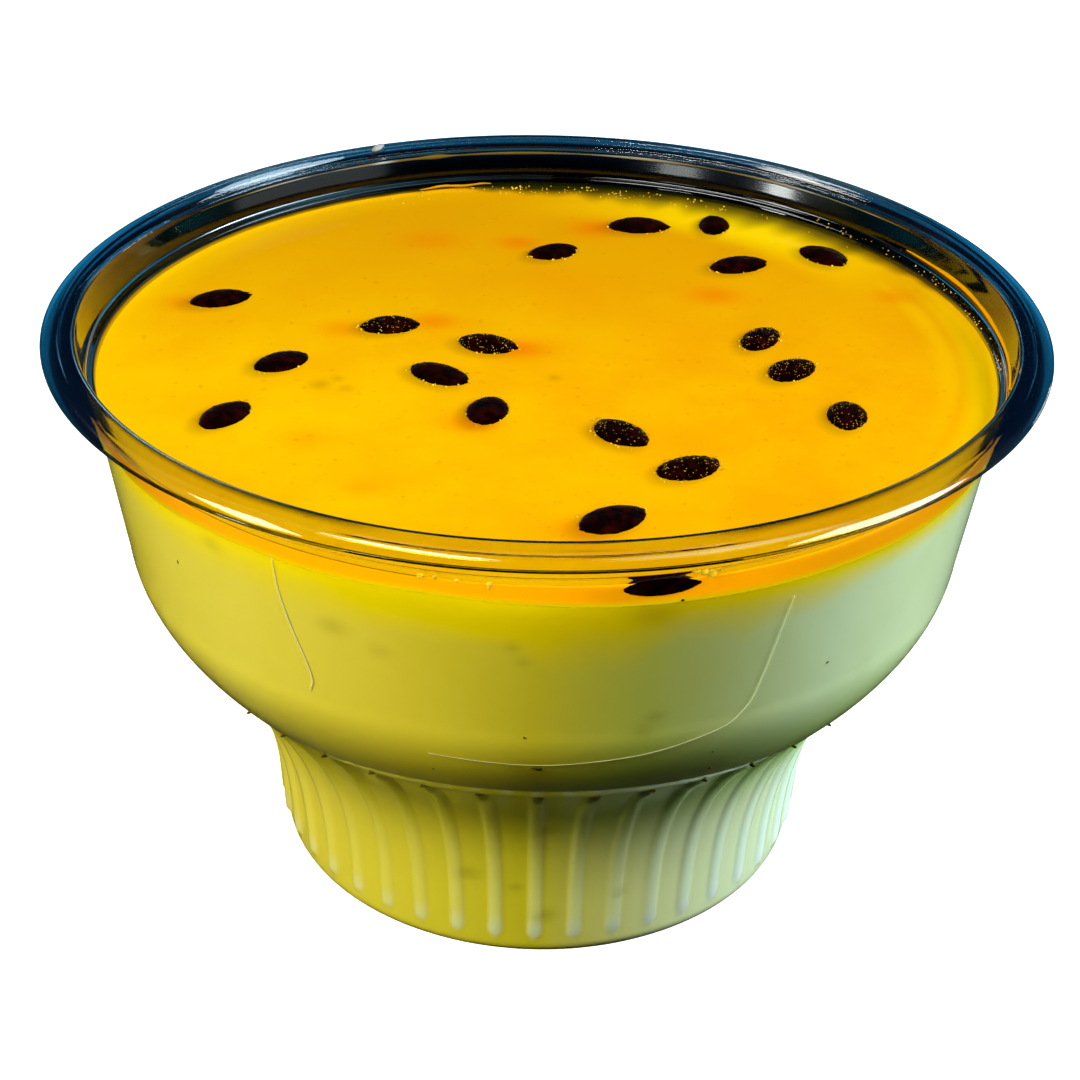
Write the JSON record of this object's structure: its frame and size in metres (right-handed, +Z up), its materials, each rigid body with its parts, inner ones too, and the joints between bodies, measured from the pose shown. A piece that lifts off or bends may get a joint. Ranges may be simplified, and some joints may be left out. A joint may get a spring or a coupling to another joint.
{
  "type": "passion fruit mousse in a dessert cup",
  "caption": "Clear footed dessert cup with a ribbed foot and beaded rim, filled with pale passion fruit mousse under a glossy orange gel layer dotted with dark seeds; eaten with a spoon.",
  "frame": {"origin": "centre of the cup's underside, on the table", "axes": "+Z up along the cup's axis, -Y towards the front"},
  "size_m": [0.098, 0.098, 0.0589],
  "materials": {
    "clear_plastic": "clear, polished",
    "mousse": "smooth, soft, slightly translucent",
    "gel": "glossy, translucent"
  },
  "bodies": {
    "root": {"cup": "clear_plastic", "mousse": "mousse", "passion_gel": "gel"}
  },
  "joints": []
}
